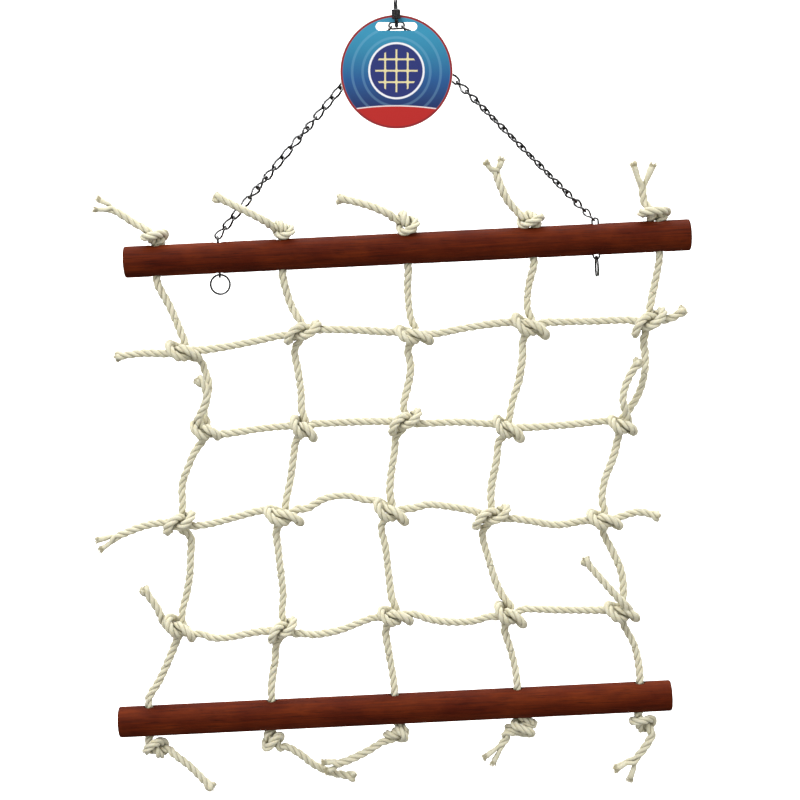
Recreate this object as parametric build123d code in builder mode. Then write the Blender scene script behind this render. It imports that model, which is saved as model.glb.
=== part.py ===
from build123d import *
import math
import os

# Hanging rope climbing net for a pet bird: two wooden bars joined by a knotted
# net of sisal rope, hung from an inverted V of light chain.
# Millimetres. +Z up, +X along the bars to the right, -Y is the front.
# Origin: the point inside the top of the hanging link where a hook bears.
# "Height" in names and tables is measured from the top bar's centre.

# Bars and their holes
BAR_D = 25.4
BAR_L = 457.2
BAR_EASE = 1.6            # eased arris at the bar ends
ROPE_PITCH = 101.6
ROPE_HOLE_D = 9.5
CHAIN_HOLE_D = 8.0
CHAIN_HOLE_X = 152.4      # from the bar's centre
CUT_OVERRUN = 1           # hole cutters pass the bar by this much
BAR_DROP = 379.1          # top bar's centre down to the bottom bar's
LOW_BAR_X = -28.2         # the net hangs racked: the bottom bar sits left

# Rope and knots
ROPE_D = 7.0
ROPE_INTO_KNOT = 0.4      # rope ends this share of a half-height short of the knot's centre
ROUND_LIMIT = 0.5         # a knot this little longer than high is a plain ball

# Chain
LINK_WIRE = 1.6
LINK_W = 6.6              # outer width
LINK_PITCH = 10.35
LINK_PLAY = 0.2           # play in each interlock
LEG_LINKS = 21            # links in each leg of the V

# Hanging link: a rounded loop with a gap in its front leg, closed by a nut
HANG_WIRE = 3.0
HANG_IN = 18.0            # inner height
HANG_HALF = 7.6           # leg centreline to the middle
HANG_CORNER = 4.0
GAP_FOOT = 5.5            # gap and nut are placed above the lower run's centre
GAP_HEAD = 8.5
NUT_FOOT = 4.3
NUT_AF = 6.0              # across flats
NUT_L = 7.5
NUT_BORE_R = 1.56
NUT_EASE = 0.35
APEX_CLEAR = 0.05         # between the hanging link and the chain's top link

# Header card
CARD_D = 90.0
CARD_T = 0.8
CARD_Y = -4.0             # mid-plane, in front of the chain
CARD_TURN = 2.8           # degrees about Y, the +X side down
SLOT_L = 33.0
SLOT_H = 6.5
SLOT_RISE = 0.5           # slot's top above the hanging link's lower run
BRIDGE = 6.0              # card left above the slot

# Split rings below the top bar
RING_OD = 17.0
RING_RADIAL = 1.4
RING_AXIAL = 0.8
RING_CORNER = 0.3
RING_PITCH = 0.88
RING_TURNS = 1.95
RING_DROP = 0.9           # bar's underside to the coil centre
LINK_BELOW_RING = 0.65    # gap between the coil and the link's end

# Derived sizes and places
ROPE_R = ROPE_D / 2
BAR_R = BAR_D / 2
RING_R = (RING_OD - RING_RADIAL) / 2
COIL_H = RING_PITCH * RING_TURNS
LINK_HALF = (LINK_PITCH + LINK_PLAY + LINK_WIRE) / 2   # link's middle to its end wire centre
END_R = (LINK_W - LINK_WIRE) / 2                       # a link's end arc
END_X = LINK_HALF - END_R                              # its centre, from the link's middle
REACH = END_R - LINK_WIRE / 2                          # end arc's centre to the interlock

RUN_Z = -HANG_IN - HANG_WIRE / 2      # hanging link's lower run, wire centre
RUN_TOP_Z = RUN_Z + HANG_WIRE / 2
APEX_Z = RUN_TOP_Z + LINK_WIRE / 2 + APEX_CLEAR - END_R   # chain's top link
RING_TOP = -BAR_R - RING_DROP         # height of the coil centre at the ring's top
END_LINK = RING_TOP - RING_RADIAL / 2 - LINK_WIRE / 2 - LINK_BELOW_RING + LINK_HALF
BAR_LINK = END_LINK + 2 * LINK_PITCH  # height of the link standing out of the bar
LEG_FOOT = BAR_LINK + END_X           # height of that link's upper end arc centre

LEG_DX = CHAIN_HOLE_X - END_X
LEG_LENGTH = LEG_LINKS * LINK_PITCH + 2 * REACH
LEG_DZ = math.sqrt(LEG_LENGTH ** 2 - LEG_DX ** 2)
TOP_BAR_Z = APEX_Z - LEG_DZ - LEG_FOOT
LOW_BAR_Z = TOP_BAR_Z - BAR_DROP
ROPE_X = [(i - 2) * ROPE_PITCH for i in range(5)]

# Crossing knots, a row per cross rope from the top, left to right:
# x, height, half-length, half-height.
KNOTS = [
    [(-184.9, -73.2, 12.8, 10.0), (-88.1, -64.1, 12.4, 10.0), (2.1, -69.4, 14.0, 8.5),
     (96.5, -66.6, 14.0, 9.4), (192.2, -69.7, 13.7, 9.8)],
    [(-170.9, -138.5, 9.9, 9.4), (-91.0, -140.8, 9.6, 9.0), (-8.6, -140.8, 14.0, 9.4),
     (75.1, -149.0, 13.2, 10.0), (167.7, -151.1, 9.9, 8.6)],
    [(-196.7, -214.9, 11.2, 9.8), (-111.2, -211.7, 14.0, 10.0), (-23.6, -212.7, 14.0, 10.0),
     (58.0, -222.5, 14.0, 10.0), (150.5, -227.9, 12.8, 9.4)],
    [(-201.1, -300.7, 12.8, 9.4), (-117.4, -308.2, 11.2, 9.0), (-24.5, -299.4, 12.4, 9.4),
     (70.2, -303.2, 12.4, 10.0), (161.7, -305.3, 12.6, 10.0)],
]

# Upright rope centrelines, left to right, each a list of spans from the top
# down: x, height.
UPRIGHTS = [
    [
        [(-203.2, -17.3), (-194.4, -37.8), (-184.6, -60.8)],
        [(-172.7, -80.6), (-169.1, -91.9), (-166.6, -101.9), (-167.8, -114.1), (-168.6, -126.9)],
        [(-175.5, -149.5), (-181.8, -157.8), (-187.4, -169.0), (-193.2, -183.6), (-192.8, -203.2)],
        [(-189.5, -225.2), (-189.9, -242.3), (-191.5, -258.5), (-195.0, -274.2), (-199.1, -289.0)],
        [(-205.7, -312.0), (-212.6, -327.9), (-222.0, -346.0), (-231.4, -361.8)],
    ],
    [
        [(-101.6, -17.3), (-96.6, -40.2), (-92.7, -52.3)],
        [(-95.1, -77.5), (-93.5, -95.6), (-92.0, -112.9), (-92.1, -129.4)],
        [(-98.2, -150.0), (-100.8, -164.2), (-104.4, -183.0), (-107.8, -199.6)],
        [(-118.3, -222.9), (-117.8, -242.1), (-116.5, -262.2), (-115.7, -278.1), (-117.5, -296.8)],
        [(-123.8, -318.3), (-125.4, -333.9), (-129.8, -361.8)],
    ],
    [
        [(0, -17.3), (-1.1, -30.2), (0.1, -58.6)],
        [(-3.3, -79.7), (-1.7, -96.1), (-4.3, -109.8), (-9.2, -129.0)],
        [(-16.5, -151.1), (-18.2, -164.2), (-23.3, -190.7), (-24.8, -200.3)],
        [(-31.7, -227.5), (-29.6, -244.0), (-28.0, -269.5), (-27.3, -287.8)],
        [(-33.0, -313.0), (-31.5, -330.1), (-28.2, -361.8)],
    ],
    [
        [(101.6, -17.3), (94.9, -34.9), (94.0, -54.9)],
        [(89.5, -77.3), (89.8, -90.7), (86.1, -110.2), (79.8, -127.9), (76.3, -136.6)],
        [(67.1, -159.7), (65.2, -174.0), (60.0, -195.3), (58.6, -210.1)],
        [(49.8, -233.2), (54.5, -257.3), (60.5, -279.3), (64.2, -291.9)],
        [(64.4, -314.6), (69.6, -335.2), (73.4, -361.8)],
    ],
    [
        [(203.2, -17.3), (198.1, -40.0), (195.4, -57.7)],
        [(188.9, -81.6), (189.5, -99.7), (187.8, -112.3), (185.1, -126.5), (177.5, -141.5)],
        [(166.7, -162.1), (160.6, -177.9), (151.3, -197.3), (149.6, -216.1)],
        [(150.1, -239.7), (156.5, -255.7), (164.4, -274.4), (165.0, -293.2)],
        [(164.2, -317.5), (171.3, -334.3), (175.0, -361.8)],
    ],
]

# Cross rope centrelines between neighbouring knots, rows as in KNOTS: x, height.
CROSS_RUNS = [
    [
        [(-169.5, -73.6), (-136.8, -70.2), (-101.5, -63.9)],
        [(-73.8, -61.6), (-45.5, -63.4), (-13.1, -65.7)],
        [(17.6, -69.7), (42.6, -66.4), (71.4, -63.5)],
        [(113.2, -65.0), (145.2, -65.8), (177.7, -65.5)],
    ],
    [
        [(-161.3, -142.9), (-140.9, -141.4), (-128.5, -140.1), (-100.7, -138.7)],
        [(-80.6, -137.2), (-51.7, -138.2), (-23.2, -138.4)],
        [(6.8, -142.4), (35.4, -142.5), (63.0, -145.1)],
        [(89.8, -149.7), (124.1, -148.9), (157.7, -146.1)],
    ],
    [
        [(-184.1, -217.2), (-170.1, -215.9), (-151.1, -211.8), (-130.2, -207.9)],
        [(-94.3, -207.5), (-77.6, -200.1), (-60.0, -198.4), (-42.7, -201.8)],
        [(-8.0, -212.6), (4.5, -209.1), (23.2, -211.4), (43.5, -216.0)],
        [(74.4, -224.1), (92.3, -227.2), (111.8, -231.0), (136.6, -228.1)],
    ],
    [
        [(-188.2, -306.4), (-175.8, -311.5), (-162.9, -311.5), (-143.8, -308.6), (-129.7, -306.8)],
        [(-105.9, -310.5), (-92.3, -312.5), (-70.4, -309.7), (-50.3, -303.1), (-37.7, -298.7)],
        [(-10.9, -298.4), (2.5, -304.1), (21.3, -307.5), (40.3, -307.6), (54.5, -304.1)],
        [(83.5, -299.3), (110.6, -301.9), (146.0, -303.7)],
    ],
]

# Free tails of each cross rope, left then right: x, y, height.
CROSS_TAILS = [
    [
        [(-196.6, -2, -72.7), (-218.3, -3, -74.0), (-240.3, -2, -75.7)],
        [(206.9, -2, -68.0), (220.9, -3, -60.5)],
    ],
    [
        [(-174.0, -7, -129.6), (-172.1, -10, -121.7), (-169.0, -11.5, -111.6),
         (-171.2, -12.5, -103.3), (-174.4, -13, -97.7)],
        [(165.7, -6, -141.9), (167.6, -10, -125.6), (173.0, -12, -112.8), (181.4, -13, -99.8)],
    ],
    [
        [(-208.9, -2, -213.5), (-226.6, -3, -215.1), (-242.2, -3, -220.6), (-262.7, -2, -229.1)],
        [(164.7, -2, -222.8), (178.6, -3, -223.5), (194.0, -2, -227.9)],
    ],
    [
        [(-210.3, -4, -297.7), (-219.5, -8, -283.0), (-228.7, -9, -267.1)],
        [(157.9, -6, -293.6), (148.2, -11, -280.8), (132.3, -13, -260.0)],
    ],
]

# Stopper knots above the top bar, left to right: the knot as in KNOTS, then its
# free tail as x, y, height.
TOP_STOPS = [
    ((-203.1, 20.0, 10.2, 6.9),
     [(-208.9, -1, 23.4), (-219.7, -2, 32.0), (-228.9, -3, 38.9), (-238.2, -3, 44.9),
      (-246.2, -3, 46.9)]),
    ((-100.2, 20.0, 10.2, 6.9),
     [(-109.1, -6, 25.8), (-122.0, -12, 33.2), (-133.0, -14.5, 39.4), (-143.9, -15.5, 46.0),
      (-150.9, -16, 49.5)]),
    ((-1.6, 22.2, 11.8, 9.1),
     [(-11.0, -2, 27.0), (-25.5, -4, 34.6), (-38.9, -5, 39.3), (-53.4, -5, 43.2)]),
    ((99.6, 19.6, 11.0, 6.5),
     [(90.6, -1, 24.6), (81.9, -2, 35.0), (77.5, -3, 46.1), (74.2, -3, 56.2), (72.2, -3, 65.9)]),
    ((200.5, 19.6, 12.4, 6.5),
     [(192.7, -1, 26.6), (191.9, -2, 36.1), (191.2, -3, 46.1), (191.8, -3, 56.9)]),
]
# The same below the bottom bar.
LOW_STOPS = [
    ((-225.2, -401.0, 12.6, 9.0),
     [(-214.1, -2, -406.6), (-201.5, -3, -417.4), (-183.1, -3, -438.0)]),
    ((-129.6, -400.4, 9.2, 8.4),
     [(-121.0, 0, -406.2), (-109.3, 1, -413.5), (-90.7, 2, -428.1), (-64.5, 2, -435.4)]),
    ((-28.9, -400.4, 9.6, 8.4),
     [(-38.8, -2, -405.1), (-53.3, -4, -412.9), (-72.0, -6, -420.5), (-87.7, -7, -423.1)]),
    ((72.0, -399.2, 13.5, 7.2),
     [(65.5, -2, -405.2), (56.1, -3, -415.8), (47.5, -3, -424.8)]),
    ((177.5, -400.4, 11.8, 8.4),
     [(184.2, -2, -410.5), (176.5, -3, -421.8), (167.0, -3, -432.4), (157.5, -3, -442.2)]),
]


def save(part, name):
    part.label = name
    export_step(part, "parts/" + name + ".step")


# ---------------------------------------------------------------------- bars
def bar(name, centre_x, centre_z, chain_holes):
    with BuildPart() as dowel:
        with BuildSketch(Plane.YZ.offset(centre_x - BAR_L / 2)):
            with Locations((0, centre_z)):
                Circle(BAR_R)
        extrude(amount=BAR_L)
        fillet(dowel.edges().filter_by(GeomType.CIRCLE), BAR_EASE)
        with BuildSketch(Plane.XY.offset(centre_z - BAR_R - CUT_OVERRUN)):
            with Locations(*[(centre_x + x, 0) for x in ROPE_X]):
                Circle(ROPE_HOLE_D / 2)
            if chain_holes:
                with Locations((-CHAIN_HOLE_X, 0), (CHAIN_HOLE_X, 0)):
                    Circle(CHAIN_HOLE_D / 2)
        extrude(amount=BAR_D + 2 * CUT_OVERRUN, mode=Mode.SUBTRACT)
    save(dowel.part, name)


# -------------------------------------------------------- hanging link and card
def hanging_link():
    gap_top = (-HANG_HALF, RUN_Z + GAP_HEAD)
    top_z = HANG_WIRE / 2
    with BuildPart() as link:
        # Drawn as (y, z) from the gap's top, up and round to the gap's foot.
        with BuildLine(Plane.YZ) as loop:
            front = Line(gap_top, (-HANG_HALF, top_z - HANG_CORNER))
            corner = JernArc(front @ 1, front % 1, HANG_CORNER, -90)
            top = Line(corner @ 1, (HANG_HALF - HANG_CORNER, top_z))
            corner = JernArc(top @ 1, top % 1, HANG_CORNER, -90)
            back = Line(corner @ 1, (HANG_HALF, RUN_Z + HANG_CORNER))
            corner = JernArc(back @ 1, back % 1, HANG_CORNER, -90)
            run = Line(corner @ 1, (-HANG_HALF + HANG_CORNER, RUN_Z))
            corner = JernArc(run @ 1, run % 1, HANG_CORNER, -90)
            Line(corner @ 1, (-HANG_HALF, RUN_Z + GAP_FOOT))
        with BuildSketch(Plane(origin=(0, *gap_top), z_dir=(0, 0, 1))):
            Circle(HANG_WIRE / 2)
        sweep(path=loop.wire())
    save(link.part, "hanging_link")


def link_nut():
    with BuildPart() as nut:
        with BuildSketch(Plane(origin=(0, -HANG_HALF, RUN_Z + NUT_FOOT), z_dir=(0, 0, 1))):
            RegularPolygon(NUT_AF / 2, 6, major_radius=False, rotation=0)
            Circle(NUT_BORE_R, mode=Mode.SUBTRACT)
        extrude(amount=NUT_L)
        chamfer(nut.faces().sort_by(Axis.Z)[-1].outer_wire().edges(), NUT_EASE)
        chamfer(nut.faces().sort_by(Axis.Z)[0].outer_wire().edges(), NUT_EASE)
    save(nut.part, "link_nut")


def header_card():
    turn = math.radians(CARD_TURN)
    card_back = Plane(
        origin=(0, CARD_Y + CARD_T / 2, RUN_TOP_Z + SLOT_RISE),
        x_dir=(math.cos(turn), 0, -math.sin(turn)),
        z_dir=(0, -1, 0),
    )
    with BuildPart() as card:
        with BuildSketch(card_back):
            with Locations((0, BRIDGE - CARD_D / 2)):
                Circle(CARD_D / 2)
            with Locations((0, -SLOT_H / 2)):
                SlotOverall(SLOT_L, SLOT_H, mode=Mode.SUBTRACT)
        extrude(amount=CARD_T)
    save(card.part, "header_card")


# --------------------------------------------------------------- chain and rings
def chain_link():
    """One link, long along X, its opening facing Z."""
    with BuildPart() as link:
        with BuildLine() as oval:
            near = Line((-END_X, -END_R), (END_X, -END_R))
            end = JernArc(near @ 1, near % 1, END_R, 180)
            far = Line(end @ 1, (-END_X, END_R))
            JernArc(far @ 1, far % 1, END_R, 180)
        with BuildSketch(Plane(origin=(-END_X, -END_R, 0), z_dir=(1, 0, 0))):
            Circle(LINK_WIRE / 2)
        sweep(path=oval.wire())
    return link.part


def split_ring():
    """Nearly two turns of flat wire about Z, starting at Z = 0."""
    with BuildPart() as ring:
        with BuildLine() as coil:
            Helix(pitch=RING_PITCH, height=COIL_H, radius=RING_R)
        with BuildSketch(Plane(origin=coil.line @ 0, z_dir=coil.line % 0, x_dir=(1, 0, 0))):
            RectangleRounded(RING_RADIAL, RING_AXIAL, RING_CORNER)
        sweep(path=coil.line, is_frenet=True)
    return ring.part


def save_copies(name, shape, places):
    with BuildPart() as copies:
        with Locations(*places):
            add(shape)
    save(copies.part, name)


def link_at(centre, along, face):
    """Place of one link: its long axis, and the normal of its opening."""
    return Plane(origin=centre, x_dir=along, z_dir=face).location


def leg_places(side, extra_turn):
    """Links of one leg of the V, each about a quarter turn from the last.

    extra_turn (degrees) is spread along the leg. With none, the leg bears along
    the end arc of the bar's link; otherwise it bears over the arc's top.
    """
    along = Vector(side * LEG_DX, 0, -LEG_DZ).normalized()
    head = Vector(side * END_X, 0, APEX_Z) + along * REACH
    foot = Vector(side * CHAIN_HOLE_X, 0, TOP_BAR_Z + LEG_FOOT)
    if extra_turn:
        foot = foot + Vector(0, 0, END_R) + along * (LINK_WIRE + LINK_PLAY) / 2
    else:
        foot = foot - along * REACH
    step = (foot - head).length / LEG_LINKS
    along = (foot - head).normalized()
    across = along.cross(Vector(0, 1, 0))
    places = []
    for i in range(LEG_LINKS):
        turn = math.radians((90.0 + extra_turn / LEG_LINKS) * (i + 1))
        face = Vector(0, 1, 0) * math.cos(turn) + across * math.sin(turn)
        places.append(link_at(head + along * step * (i + 0.5), along, face))
    return places


def chain_side(name, side, extra_turn, face, next_face, link, ring):
    """A leg of the V, the links through the bar and the ring that stops them.

    face is the facing of the link above the bar, next_face of the one below it.
    """
    def over_hole(height):
        return Vector(side * CHAIN_HOLE_X, 0, TOP_BAR_Z + height)

    upright = (0, 0, 1)
    save_copies(name + "_chain", link, leg_places(side, extra_turn))
    save_copies(name + "_bar_links", link, [
        link_at(over_hole(BAR_LINK), upright, face),
        link_at(over_hole(BAR_LINK - LINK_PITCH), upright, next_face),
    ])
    save_copies(name + "_end_link", link, [link_at(over_hole(END_LINK), upright, face)])
    coil_start = over_hole(RING_TOP - RING_R) - next_face * (COIL_H / 2)
    ring_plane = Plane(origin=coil_start, x_dir=(0, 0, -1), z_dir=next_face)
    save_copies(name + "_ring", ring, [ring_plane.location])


# ---------------------------------------------------------------- rope and knots
def at(x, height, y=0.0):
    return (x, y, TOP_BAR_Z + height)


def halfway(centre, point):
    """Midway from a knot's centre to a rope point outside it."""
    return tuple(c + (p - c) * 0.5 for c, p in zip(centre, point))


def rope_run(points):
    """Add a rope length along a smooth centreline to the open part."""
    with BuildLine() as path:
        Spline(*points)
    with BuildSketch(Plane(origin=path.line @ 0, z_dir=path.line % 0)) as section:
        Circle(ROPE_R)
    sweep(section.sketch, path=path.line)


def rope_tail(knot, tail):
    """Add a free tail to the open part, rooted inside its knot."""
    points = [at(x, height, y) for x, y, height in tail]
    rope_run([halfway(at(*knot[:2]), points[0])] + points)


def knot_bulb(knot):
    """Add a knot's body to the open part: a round-ended barrel along X, or a ball."""
    x, height, half_length, half_height = knot
    centre = at(x, height)
    with BuildSketch(Plane(origin=centre, x_dir=(1, 0, 0), z_dir=(0, -1, 0))) as half:
        if half_length > half_height + ROUND_LIMIT:
            SlotOverall(2 * half_length, 2 * half_height)
        else:
            Circle(half_height)
        # Only the upper half is revolved; the cutter is 3 mm longer at each end.
        with Locations((0, -half_height)):
            Rectangle(2 * half_length + 6, 2 * half_height, mode=Mode.SUBTRACT)
    revolve(half.sketch, axis=Axis(centre, (1, 0, 0)))


def stopper(name, hole_x, bar_z, side, knot, tail):
    """Rope through a bar to its stopper knot and tail; side is +1 above, -1 below."""
    knot_rise = abs(TOP_BAR_Z + knot[1] - bar_z)
    with BuildPart() as stop:
        with BuildSketch(Plane.XY.offset(bar_z - side * BAR_R)):
            with Locations((hole_x, 0)):
                Circle(ROPE_R)
        extrude(amount=side * (BAR_R + knot_rise - knot[3] * ROPE_INTO_KNOT))
        knot_bulb(knot)
        rope_tail(knot, tail)
    save(stop.part, name)


def upright_spans(name, spans):
    """One node per span, so the net can fold at every row of knots."""
    for i, stations in enumerate(spans):
        points = [at(x, height) for x, height in stations]
        # The ends next to the bars are rounded.
        ball_ends = []
        if i == 0:
            ball_ends.append(points[0])
        if i == len(spans) - 1:
            ball_ends.append(points[-1])
        with BuildPart() as span:
            rope_run(points)
            for point in ball_ends:
                with Locations(point):
                    Sphere(ROPE_R)
        save(span.part, "%s_span_%d" % (name, i + 1))


def cross_rope(name, knots, runs, tails):
    with BuildPart() as rope:
        for knot in knots:
            knot_bulb(knot)
        for left, right, stations in zip(knots, knots[1:], runs):
            points = [at(x, height) for x, height in stations]
            start = halfway(at(*left[:2]), points[0])
            finish = halfway(at(*right[:2]), points[-1])
            rope_run([start] + points + [finish])
        rope_tail(knots[0], tails[0])
        rope_tail(knots[-1], tails[1])
    save(rope.part, name)


# --------------------------------------------------------------------- build all
os.makedirs("parts", exist_ok=True)

bar("top_bar", 0, TOP_BAR_Z, chain_holes=True)
bar("bottom_bar", LOW_BAR_X, LOW_BAR_Z, chain_holes=False)
hanging_link()
link_nut()
header_card()

one_link = chain_link()
one_ring = split_ring()
face_x = Vector(1, 0, 0)
face_y = Vector(0, 1, 0)
save_copies("chain_top_link", one_link, [link_at((0, 0, APEX_Z), (1, 0, 0), face_y)])
chain_side("left", -1, 90.0, face_x, face_y, one_link, one_ring)
chain_side("right", 1, 0.0, face_y, face_x, one_link, one_ring)

for i, hole_x in enumerate(ROPE_X):
    upright = "upright_%d" % (i + 1)
    stopper(upright + "_top_knot", hole_x, TOP_BAR_Z, 1, *TOP_STOPS[i])
    upright_spans(upright, UPRIGHTS[i])
    stopper(upright + "_bottom_knot", LOW_BAR_X + hole_x, LOW_BAR_Z, -1, *LOW_STOPS[i])

for i, knots in enumerate(KNOTS):
    cross_rope("cross_rope_%d" % (i + 1), knots, CROSS_RUNS[i], CROSS_TAILS[i])
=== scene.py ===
"""A rope net knotted between two wooden bars, with a chain leg to each end of the top bar.

X runs along the bars to the viewer's right, Z is up and -Y is the front, which the round
card faces. Lengths are millimetres until a mesh is built. Four cross ropes are knotted round
five uprights; each upright passes through both bars and ends in a stopper knot and a tail.
"""
import bpy
import math
import random
import numpy as np
from mathutils import Matrix, Vector


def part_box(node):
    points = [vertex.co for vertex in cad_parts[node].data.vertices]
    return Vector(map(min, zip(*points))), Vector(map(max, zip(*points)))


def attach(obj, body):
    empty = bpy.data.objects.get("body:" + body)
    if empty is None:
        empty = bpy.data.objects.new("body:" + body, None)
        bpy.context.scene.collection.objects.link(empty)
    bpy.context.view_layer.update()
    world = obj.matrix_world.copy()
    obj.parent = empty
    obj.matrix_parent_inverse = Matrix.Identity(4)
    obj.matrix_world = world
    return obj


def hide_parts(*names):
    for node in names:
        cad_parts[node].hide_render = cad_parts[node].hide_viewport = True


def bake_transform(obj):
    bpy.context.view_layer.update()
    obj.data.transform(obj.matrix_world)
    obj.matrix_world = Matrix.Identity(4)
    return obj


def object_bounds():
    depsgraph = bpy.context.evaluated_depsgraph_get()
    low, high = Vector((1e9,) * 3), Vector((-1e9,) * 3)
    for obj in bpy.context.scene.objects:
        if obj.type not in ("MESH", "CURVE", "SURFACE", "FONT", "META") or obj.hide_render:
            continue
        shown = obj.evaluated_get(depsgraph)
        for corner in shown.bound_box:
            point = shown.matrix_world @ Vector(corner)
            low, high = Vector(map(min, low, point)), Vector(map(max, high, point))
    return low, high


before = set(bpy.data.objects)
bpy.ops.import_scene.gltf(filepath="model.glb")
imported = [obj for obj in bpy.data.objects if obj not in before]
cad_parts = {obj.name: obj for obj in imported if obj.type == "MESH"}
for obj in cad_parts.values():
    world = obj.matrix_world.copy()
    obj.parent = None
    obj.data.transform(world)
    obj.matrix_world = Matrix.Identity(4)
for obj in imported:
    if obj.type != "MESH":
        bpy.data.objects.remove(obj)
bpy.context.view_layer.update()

MM = 0.001


def box_mm(name):
    """Low and high corners of a CAD piece, in millimetres."""
    return np.array([tuple(corner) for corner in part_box(name)]) / MM


TOP_BOX = box_mm("top_bar")
TOP = TOP_BOX.mean(0)
LOW = box_mm("bottom_bar").mean(0)
BAR_RADIUS = (TOP_BOX[1][2] - TOP_BOX[0][2]) / 2
LOW_X = LOW[0] - TOP[0]          # bottom bar's centre from the top bar's
LOW_Z = LOW[2] - TOP[2]

# ------------------------------------------------------------------- net layout
# X and Z in these tables are from the top bar's centre.
HOLE_PITCH = 101.6
UPRIGHT_COUNT = 5
ROW_COUNT = 4

# A list for each row, a knot for each upright:
# x, z, half-length, half-height, whether mirrored up-down, tilt in degrees
KNOTS = [
    [(-184.9, -73.2, 14.6, 12.0, 0, 6), (-88.1, -64.1, 15.6, 12.4, 1, -6),
     (2.1, -69.4, 16.0, 10.8, 0, 4), (96.5, -66.6, 16.6, 12.2, 0, -4),
     (192.2, -69.7, 16.4, 12.4, 1, 6)],
    [(-170.9, -138.5, 12.4, 11.8, 0, 10), (-91.0, -140.8, 12.6, 11.8, 0, -8),
     (-8.6, -140.8, 15.6, 11.4, 1, 5), (75.1, -149.0, 14.6, 12.4, 0, -8),
     (167.7, -151.1, 12.4, 11.2, 0, 6)],
    [(-196.7, -214.9, 13.6, 12.0, 1, -6), (-111.2, -211.7, 16.4, 12.2, 0, 6),
     (-23.6, -212.7, 16.2, 12.4, 0, -8), (58.0, -222.5, 16.6, 12.4, 1, -4),
     (150.5, -227.9, 15.2, 11.8, 0, 5)],
    [(-201.1, -300.7, 14.6, 11.8, 0, -12), (-117.4, -308.2, 13.8, 11.6, 1, 4),
     (-24.5, -299.4, 14.6, 11.8, 0, 10), (70.2, -303.2, 14.8, 12.4, 0, -6),
     (161.7, -305.3, 14.6, 12.2, 0, 8)],
]
# A list for each upright, a span above, between and below its knots: x, z
UPRIGHTS = [
    [[(-194.4, -37.8), (-186.6, -58.8)],
     [(-172.7, -82.6), (-169.1, -91.9), (-166.6, -101.9), (-169.2, -114.1), (-172.0, -126.9)],
     [(-175.5, -149.5), (-181.8, -157.8), (-187.4, -169.0), (-193.2, -183.6), (-193.8, -201.2)],
     [(-189.5, -227.2), (-189.9, -242.3), (-191.5, -258.5), (-195.0, -274.2), (-199.1, -287.0)],
     [(-205.7, -313.0), (-212.6, -327.9), (-222.0, -346.0)]],
    [[(-96.6, -40.2), (-91.7, -50.3)],
     [(-95.2, -77.0), (-93.5, -95.6), (-92.0, -112.9), (-92.1, -127.4)],
     [(-98.2, -152.0), (-100.8, -164.2), (-104.4, -183.0), (-108.6, -198.6)],
     [(-118.3, -224.9), (-117.8, -242.1), (-116.5, -262.2), (-115.7, -278.1), (-117.5, -294.8)],
     [(-123.8, -320.3), (-125.4, -333.9), (-128.4, -348.0)]],
    [[(-1.1, -30.2), (0.1, -56.6)],
     [(-3.3, -81.7), (-1.7, -96.1), (-4.3, -109.8), (-9.2, -128.0)],
     [(-16.5, -153.1), (-18.2, -164.2), (-22.0, -182.7), (-23.8, -199.3)],
     [(-31.9, -225.4), (-29.6, -244.0), (-28.0, -269.5), (-26.3, -286.8)],
     [(-32.4, -311.9), (-31.5, -330.1), (-29.2, -348.0)]],
    [[(96.9, -34.9), (95.0, -53.9)],
     [(90.5, -79.3), (89.8, -90.7), (86.1, -110.2), (79.8, -127.9)],
     [(67.1, -161.7), (65.2, -174.0), (60.0, -195.3), (58.6, -209.1)],
     [(50.8, -235.2), (54.5, -257.3), (60.5, -279.3), (66.2, -290.9)],
     [(65.4, -316.6), (69.6, -335.2), (72.4, -350.0)]],
    [[(199.1, -38.0), (194.4, -56.7)],
     [(188.9, -83.6), (189.5, -99.7), (187.8, -112.3), (183.1, -126.5), (174.5, -139.5)],
     [(164.7, -164.1), (160.6, -177.9), (152.3, -197.3), (149.6, -214.1)],
     [(150.1, -241.7), (156.5, -255.7), (163.4, -274.4), (164.0, -292.2)],
     [(164.2, -319.5), (171.3, -334.3), (174.6, -350.0)]],
]
# A list for each row, a span between each two knots: x, z
CROSS_SPANS = [
    [[(-167.5, -73.6), (-136.8, -70.2), (-104.5, -64.9)],
     [(-70.8, -61.8), (-45.5, -63.4), (-15.1, -66.7)],
     [(19.6, -69.7), (42.6, -66.4), (71.4, -63.5)],
     [(115.2, -65.0), (145.2, -65.8), (175.7, -66.5)]],
    [[(-157.3, -142.9), (-140.9, -141.4), (-128.5, -140.1), (-104.7, -138.9)],
     [(-76.6, -138.2), (-51.7, -138.2), (-25.2, -138.9)],
     [(8.8, -142.4), (35.4, -142.5), (60.0, -145.1)],
     [(91.8, -149.7), (124.1, -148.9), (152.7, -147.6)]],
    [[(-182.1, -217.2), (-170.1, -215.9), (-151.1, -211.8), (-130.7, -207.4)],
     [(-92.3, -207.5), (-77.6, -200.1), (-60.0, -198.4), (-42.7, -202.8)],
     [(-6.0, -211.6), (6.5, -209.1), (23.2, -211.4), (42.5, -216.0)],
     [(76.4, -224.1), (92.3, -227.2), (111.8, -231.0), (134.6, -228.6)]],
    [[(-184.2, -307.4), (-175.8, -311.0), (-162.9, -311.5), (-143.8, -308.6), (-132.7, -307.4)],
     [(-101.9, -311.0), (-92.3, -312.5), (-70.4, -309.7), (-50.3, -303.1), (-41.7, -300.7)],
     [(-8.9, -299.4), (3.5, -304.1), (21.3, -307.5), (40.3, -307.6), (52.5, -304.6)],
     [(87.5, -300.0), (110.6, -301.9), (144.0, -303.7)]],
]
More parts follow.
